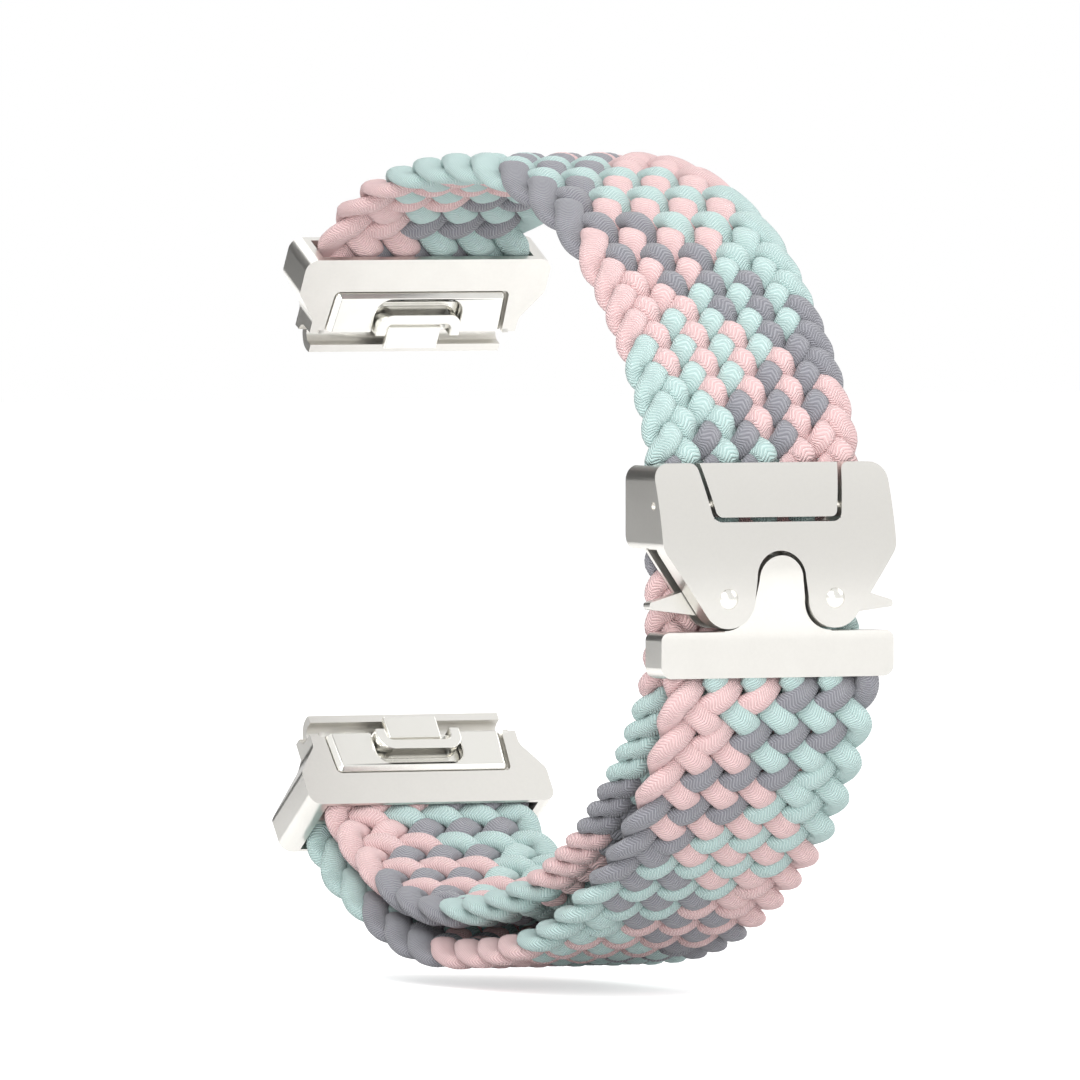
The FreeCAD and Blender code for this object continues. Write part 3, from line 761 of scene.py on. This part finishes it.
def prism(outline: Sequence[Point], ends: Point, top: float, sideways: bool = False) -> bpy.types.Object:
    """Extrudes a flat outline.

    Args:
        outline: (x, drop) points, or (out, drop) points of a side view, in millimetres.
        ends: the distances out, or the two x of a side view, that it runs between.
        top: the height that drops are counted from.
        sideways: whether the outline is a side view.

    Returns:
        The new object.
    """
    low, high = ends
    if sideways:
        corners, run = [(low, -out, top - drop) for out, drop in outline], (high - low, 0.0, 0.0)
    else:
        corners, run = [(x, -low, top - drop) for x, drop in outline], (0.0, low - high, 0.0)
    mesh = bpy.data.meshes.new("prism")
    mesh.from_pydata([Vector(corner) * MM for corner in corners], [], [list(range(len(corners)))])
    piece = bpy.data.objects.new("prism", mesh)
    bpy.context.collection.objects.link(piece)
    bpy.ops.object.select_all(action="DESELECT")
    piece.select_set(True)
    bpy.context.view_layer.objects.active = piece
    bpy.ops.object.mode_set(mode="EDIT")
    bpy.ops.mesh.select_all(action="SELECT")
    bpy.ops.mesh.extrude_region_move(TRANSFORM_OT_translate={"value": Vector(run) * MM})
    bpy.ops.mesh.select_all(action="SELECT")
    bpy.ops.mesh.normals_make_consistent(inside=False)
    bpy.ops.object.mode_set(mode="OBJECT")
    return piece


def combine(target: bpy.types.Object, tool: bpy.types.Object, operation: str) -> None:
    """Applies a boolean of a tool to a target and removes the tool."""
    bpy.ops.object.select_all(action="DESELECT")
    target.select_set(True)
    bpy.context.view_layer.objects.active = target
    made = target.modifiers.new("combine", "BOOLEAN")
    made.operation, made.object, made.solver = operation, tool, "EXACT"
    bpy.ops.object.modifier_apply(modifier=made.name)
    bpy.data.objects.remove(tool)


@dataclass
class Castings:
    """The clasp's front, its flap and its tongue, drawn from the front and from the side, in millimetres."""

    width: float = 27.8
    top: float = -12.5
    wall: float = 0.95
    back: float = 81.5
    low_out: float = 90.9
    lean: float = 3.2
    plate: float = 2.3
    box_height: float = 9.1
    leg_spacing: float = 12.7
    leg_radius: float = 3.15
    leg_drop: float = 14.4
    notch_half: float = 2.9
    notch_top: float = 9.3
    strap_out: float = 86.0
    sill: float = 6.25
    window_top: float = 8.65
    window_low: float = 7.55
    pin: Point = (88.1, 4.5)
    pin_radius: float = 0.45
    flap_drop: float = 5.75
    flap_gap: float = 0.45
    flap_skin: float = 1.15
    flap_corner: float = 0.8
    knuckle_radius: float = 0.95
    knuckle_inset: float = 0.65
    pin_play: float = 0.05
    relief_gap: float = 0.15
    rivet_radius: float = 0.8
    front_corners: Tuple[float, ...] = (1.1, 0.9, 1.9, 2.4)
    rear_corners: Tuple[float, ...] = (0.0, 1.6, 0.9)
    bar_corners: Tuple[float, ...] = (0.0, 0.9, 1.2)
    bar_top: float = 17.9
    bar_low: float = 22.8
    bar_half: float = 13.85
    bar_front: float = 89.9
    bar_depth: float = 3.8
    tip_out: float = 90.8
    tip_half: float = 2.6
    tip_top: float = 9.8
    blade_back: float = 87.05
    blade_top: float = 8.0
    slope_start: float = 11.0
    slope_past: float = 1.0
    slot_half: float = 1.25
    slot_height: float = 3.5
    slot_reach: float = 12.4
    past: float = 1.0
    fine: int = 24
    coarse: int = 18
    leg_gap: float = 0.25
    strips: int = 24

    def face(self, drop: float, inset: float = 0.0) -> float:
        """How far out the clasp's curved front is at a drop below its top."""
        radius = (self.lean ** 2 + self.leg_drop ** 2) / (2 * self.lean)
        rise = max(self.leg_drop - drop, 0.0)
        return self.low_out - radius + math.sqrt(radius ** 2 - rise ** 2) - inset

    def across(self, outline: Sequence[Point], reach: float) -> bpy.types.Object:
        """A tool with a side view's outline that reaches equally far to both sides."""
        return prism(outline, (-reach, reach), self.top, True)

    def front(self) -> bpy.types.Object:
        """The front casting: window, cheeks, round legs and a round arch over the tongue."""
        half, leg = self.width / 2, (self.leg_spacing / 2, self.leg_drop)
        reach = (half - leg[0], self.box_height - leg[1])
        turn = math.degrees(math.atan2(reach[1], reach[0]) + math.acos(self.leg_radius / math.hypot(*reach)))
        round_leg = arc(leg, self.leg_radius, turn, 180, self.coarse)
        shape = eased([(0.0, self.sill), (self.window_low, self.sill), (self.window_top, 0.0), (half, 0.0),
                       (half, self.box_height), round_leg[0]], self.front_corners)
        shape += round_leg[1:] + arc((0.0, self.notch_top + self.notch_half), self.notch_half, 0, -90)
        body = prism(both_sides(shape), (self.back - self.past, self.low_out + self.past), self.top)
        low = self.leg_drop + self.leg_radius + self.past
        curve = [(self.face(low * k / self.strips), low * k / self.strips) for k in range(self.strips + 1)]
        inner = self.low_out - self.plate
        rear = eased([(inner, low), (inner, self.box_height), (self.back, self.box_height), (self.back, 0.0),
                      curve[0]], self.rear_corners)
        combine(body, self.across(curve + rear[:-1], half + self.past), "INTERSECT")
        inside = half - self.wall
        for out, drop in (((self.back - self.past, self.strap_out), (-self.past, low)),
                          ((self.strap_out - self.past, inner), (self.sill, self.box_height + self.past))):
            box = [(out[0], drop[0]), (out[1], drop[0]), (out[1], drop[1]), (out[0], drop[1])]
            combine(body, self.across(box, inside), "DIFFERENCE")
        lip = math.hypot(self.face(self.flap_drop) - self.pin[0], self.flap_drop - self.pin[1])
        relief = ring(self.pin, lip + self.relief_gap, self.fine)
        combine(body, self.across(relief, self.window_low), "DIFFERENCE")
        pin_hole = ring(self.pin, self.pin_radius, self.coarse)
        combine(body, self.across(pin_hole, half + self.past), "DIFFERENCE")
        for side in (-1, 1):
            hole = ring((side * leg[0], leg[1]), self.rivet_radius, self.fine)
            combine(body, prism(hole, (self.blade_back, self.low_out + self.past), self.top), "DIFFERENCE")
        return body

    def flap(self) -> bpy.types.Object:
        """The four-sided flap that follows the clasp's front, and the knuckle round its pin."""
        high, low = self.window_top - self.flap_gap, self.window_low - self.flap_gap
        drop, rows = self.flap_drop, 8
        shape = eased([(0.0, drop), (low, drop), (high, 0.0), (0.0, 0.0)], (self.flap_corner, 0.0))
        flap = prism(both_sides(shape), (self.back, self.low_out + self.past), self.top)
        levels = [drop * k / rows - 0.5 + k / rows for k in range(rows + 1)]
        skin = [(self.face(level), level) for level in levels]
        skin += [(self.face(level, self.flap_skin), level) for level in reversed(levels)]
        combine(flap, self.across(skin, high + self.past), "INTERSECT")
        knuckle = ring(self.pin, self.knuckle_radius, self.fine)
        combine(flap, self.across(knuckle, self.window_low - self.knuckle_inset), "UNION")
        pin_hole = ring(self.pin, self.pin_radius + self.pin_play, self.coarse)
        combine(flap, self.across(pin_hole, self.width), "DIFFERENCE")
        return flap

    def tongue(self) -> bpy.types.Object:
        """The cross bar, its neck that follows the legs' round ends, and the round tip."""
        leg = (self.leg_spacing / 2, self.leg_drop)
        shape = arc((0.0, self.tip_top + self.tip_half), self.tip_half, -90, 0)
        shape += arc(leg, self.leg_radius + self.leg_gap, 180, 90, self.coarse)
        bar = eased([shape[-1], (leg[0], self.bar_top), (self.bar_half, self.bar_top),
                     (self.bar_half, self.bar_low), (0.0, self.bar_low)], self.bar_corners)
        body = prism(both_sides(shape + bar[1:]), (self.back, self.low_out + self.past), self.top)
        slope = []
        slope_end = self.bar_top + self.slope_past
        for k in range(self.strips + 1):
            share = k / self.strips
            fall = (self.tip_out - self.bar_front) * (1 - math.cos(math.pi * share)) / 2
            slope.append((self.tip_out - fall, self.slope_start + (slope_end - self.slope_start) * share))
        low, bar_back = self.bar_low + self.past, self.bar_front - self.bar_depth
        rear = [(self.bar_front, low), (bar_back, low), (bar_back, self.bar_top),
                (self.blade_back, self.bar_top), (self.blade_back, self.blade_top)]
        side = [(self.tip_out, self.blade_top)] + slope + rear
        combine(body, self.across(side, self.bar_half + self.past), "INTERSECT")
        middle = self.bar_front - self.bar_depth / 2
        slot_top = self.bar_low - self.slot_height
        slot = [(middle - self.slot_half, low), (middle + self.slot_half, low),
                (middle + self.slot_half, slot_top), (middle - self.slot_half, slot_top)]
        combine(body, self.across(slot, self.slot_reach), "DIFFERENCE")
        return body


@dataclass
class Metalwork:
    """The metal pieces, drawn anew or as rounded copies of nodes, and the finishes of all nodes."""

    satin: MetalFinish = MetalFinish(Slot.SATIN, linear(224, 222, 217), linear(208, 206, 201), 0.33, 2600.0,
                                     0.000004)
    polished: MetalFinish = MetalFinish(Slot.POLISHED, linear(236, 235, 230), linear(222, 220, 214), 0.24,
                                        1500.0, 0.000002)
    wire: MetalFinish = MetalFinish(Slot.WIRE, linear(190, 190, 190), linear(160, 160, 162), 0.3, 3000.0,
                                    0.000003)
    edges: Tuple[Tuple[str, float], ...] = (
        ("clasp_body", 0.5), ("clasp_tongue", 0.38), ("clasp_flap", 0.22), ("left_release_lever", 0.16),
        ("right_release_lever", 0.16), ("upper_end_housing", 0.3), ("lower_end_housing", 0.3),
        ("upper_latch_cover", 0.12), ("lower_latch_cover", 0.12), ("upper_latch_slider", 0.16),
        ("lower_latch_slider", 0.16), ("lever_rivets", 0.04))
    merge: float = 0.004
    flat_angle: float = 2.0
    round_angle: float = 28.0
    steps: int = 3

    def rounded_copy(self, node: bpy.types.Object, name: str, width: float) -> bpy.types.Object:
        """Copies a node's mesh, joins its triangles into faces and rounds its edges.

        Args:
            node: the frame's node.
            name: the piece's name.
            width: the radius in millimetres.

        Returns:
            The new piece.
        """
        piece = bpy.data.objects.new(name, node.data.copy())
        bpy.context.collection.objects.link(piece)
        bpy.context.view_layer.objects.active = piece
        piece.select_set(True)
        bpy.ops.object.mode_set(mode="EDIT")
        bpy.ops.mesh.select_all(action="SELECT")
        bpy.ops.mesh.remove_doubles(threshold=self.merge * MM)
        bpy.ops.mesh.dissolve_limited(angle_limit=math.radians(self.flat_angle))
        bpy.ops.object.mode_set(mode="OBJECT")
        self.soften(piece, width)
        return piece

    def soften(self, piece: bpy.types.Object, width: float) -> None:
        """Rounds a piece's edges by a radius in millimetres and evens its shading."""
        bevel = piece.modifiers.new("edge", "BEVEL")
        bevel.width, bevel.segments = width * MM, self.steps
        bevel.limit_method, bevel.angle_limit = "ANGLE", math.radians(self.round_angle)
        bevel.use_clamp_overlap, bevel.loop_slide = True, False
        bpy.ops.object.modifier_apply(modifier=bevel.name)
        bpy.ops.object.shade_smooth_by_angle(angle=math.radians(self.round_angle))
        even = piece.modifiers.new("even", "WEIGHTED_NORMAL")
        even.keep_sharp, even.weight = True, 90
        bpy.ops.object.modifier_apply(modifier=even.name)
        piece.select_set(False)

    def build(self) -> List[bpy.types.Object]:
        """Makes the rounded pieces and gives every metal surface its finish.

        Returns:
            The new pieces.
        """
        finishes = (self.satin, self.polished, self.wire)
        materials = {finish.slot.value: finish.material() for finish in finishes}
        listed = frame["record"]["behaviour"]["bodies"]
        bodies = {node: body for body, nodes in listed.items() for node in nodes}
        names = {"clasp_body": "clasp_front"}
        made = []
        for name, node in frame["nodes"].items():
            for slot in node.material_slots:
                known = [key for key in materials if slot.material and key in slot.material.name]
                if known:
                    slot.material = materials[known[0]]
        castings = Castings()
        drawn = {"clasp_body": castings.front, "clasp_flap": castings.flap, "clasp_tongue": castings.tongue}
        for name, width in self.edges:
            node = frame["nodes"][name]
            if name in drawn:
                piece = drawn[name]()
                piece.name = names.get(name, name + "_rounded")
                piece.data.materials.append(node.material_slots[0].material)
                self.soften(piece, width)
            else:
                piece = self.rounded_copy(node, names.get(name, name + "_rounded"), width)
            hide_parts(name)
            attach(piece, bodies[name])
            next(key for key in materials if key in node.material_slots[0].material.name)
            LOG.info("%s: %d faces", piece.name, len(piece.data.polygons))
            made.append(piece)
        return made


# Floor, light and camera


@dataclass
class Studio:
    """A pale floor, soft lamps and the photograph's view."""

    turn: float = -26.5
    rise: float = 1.5
    distance: float = 2150.0
    lens: float = 650.0
    aim: Tuple[float, float, float] = (13.3, -6.6, -22.8)
    floor_height: float = -70.5
    even: float = 0.46
    from_right: float = 0.26
    from_front: float = 0.24
    from_top: float = 0.12
    floor_glow: float = 0.6
    lamps: Tuple[Tuple[str, Tuple[float, float, float], float, float], ...] = (
        ("key", (-0.6, -0.7, 0.65), 0.6, 6.0), ("fill", (0.95, -0.2, 0.6), 0.6, 3.5),
        ("top", (-0.1, 0.5, 0.85), 0.8, 3.5), ("low", (-0.45, -1.0, 0.12), 0.35, 4.0))
    card_place: Tuple[float, float, float] = (-0.25, 0.5, 0.2)
    card_size: float = 0.7

    def floor(self) -> None:
        """A wide pale floor that also glows evenly where the camera or a reflection sees it."""
        bpy.ops.mesh.primitive_plane_add(size=6.0, location=(0.0, 0.0, self.floor_height * MM))
        ground = bpy.context.object
        ground.name = "studio_floor"
        paint = Paint("studio_floor")
        paint.set(Base_Color=(0.8, 0.8, 0.8, 1.0), Roughness=0.9, Specular_IOR_Level=0.1)
        rays = paint.node("ShaderNodeLightPath")
        seen = paint.value(rays.outputs["Is Camera Ray"])
        for output in ("Is Glossy Ray", "Is Transmission Ray"):
            seen = seen + paint.value(rays.outputs[output])
        paint.set(Emission_Color=(1.0, 1.0, 1.0, 1.0), Emission_Strength=seen.at_most(1.0) * self.floor_glow)
        ground.data.materials.append(paint.material)
        ground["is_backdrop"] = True

    def world(self) -> None:
        """An even dim world, white where the camera sees it."""
        world = bpy.data.worlds.new("studio")
        bpy.context.scene.world = world
        world.use_nodes = True
        tree = world.node_tree
        back = tree.nodes["Background"]
        rays = tree.nodes.new("ShaderNodeLightPath")
        seen = Value(tree, rays.outputs["Is Camera Ray"])
        for output in ("Is Glossy Ray", "Is Transmission Ray"):
            seen = seen + Value(tree, rays.outputs[output])
        seen = seen.at_most(1.0)
        parts = tree.nodes.new("ShaderNodeSeparateXYZ")
        tree.links.new(tree.nodes.new("ShaderNodeTexCoord").outputs["Generated"], parts.inputs[0])
        right, back_way, up = (Value(tree, parts.outputs[axis]) for axis in range(3))
        level = right * self.from_right - back_way * self.from_front + up * self.from_top + self.even
        level = level.at_least(0.1)
        back.inputs["Color"].default_value = (1.0, 1.0, 1.0, 1.0)
        tree.links.new((seen + (1 - seen) * level).socket, back.inputs["Strength"])

    def dark_card(self) -> None:
        """A dark card behind to the left, which only the metal's side walls reflect."""
        toward = Vector(self.aim) * MM - Vector(self.card_place)
        bpy.ops.mesh.primitive_plane_add(size=self.card_size, location=self.card_place,
                                         rotation=toward.to_track_quat("Z", "Y").to_euler())
        card = bpy.context.object
        card.name = "studio_card"
        paint = Paint("studio_card")
        paint.set(Base_Color=(0.05, 0.05, 0.05, 1.0), Roughness=0.9, Specular_IOR_Level=0.1)
        card.data.materials.append(paint.material)
        card.visible_camera, card.visible_diffuse, card.visible_shadow = False, False, False
        card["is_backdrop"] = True

    def lamp(self, name: str, place: Tuple[float, float, float], size: float, power: float) -> None:
        """Adds one square lamp that faces the strap.

        Args:
            name: the lamp's name.
            place: where it stands, in metres.
            size: its side in metres.
            power: its power in watts.
        """
        data = bpy.data.lights.new(name, "AREA")
        data.size, data.energy = size, power
        lamp = bpy.data.objects.new(name, data)
        lamp.location = place
        middle = Vector(self.aim) * MM
        lamp.rotation_euler = (middle - Vector(place)).to_track_quat("-Z", "Y").to_euler()
        bpy.context.collection.objects.link(lamp)

    def camera(self) -> None:
        """Stands the camera where the photograph was taken from."""
        data = bpy.data.cameras.new("camera")
        data.lens, data.sensor_width = self.lens, 36.0
        data.clip_start, data.clip_end = 0.05, 50.0
        view = bpy.data.objects.new("camera", data)
        turn, rise = math.radians(self.turn), math.radians(self.rise)
        back = Vector((math.sin(turn) * math.cos(rise), -math.cos(turn) * math.cos(rise), math.sin(rise)))
        view.location = (Vector(self.aim) + back * self.distance) * MM
        view.rotation_euler = (-back).to_track_quat("-Z", "Y").to_euler()
        bpy.context.collection.objects.link(view)
        bpy.context.scene.camera = view

    def build(self) -> None:
        """Sets up the whole studio."""
        bpy.context.scene.view_settings.view_transform = "Standard"
        self.floor()
        self.world()
        for name, place, size, power in self.lamps:
            self.lamp(name, place, size, power)
        self.dark_card()
        self.camera()


def corners() -> List[List[float]]:
    """The shown object's lowest and highest corner as plain lists."""
    return [list(corner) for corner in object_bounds()]


def main() -> None:
    """Builds the looks."""
    logging.basicConfig(level=logging.INFO, format="%(message)s")
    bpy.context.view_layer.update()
    bpy.ops.object.select_all(action="DESELECT")
    Metalwork().build()
    Strap().build()
    Studio().build()


if __name__ == "__main__":
    main()
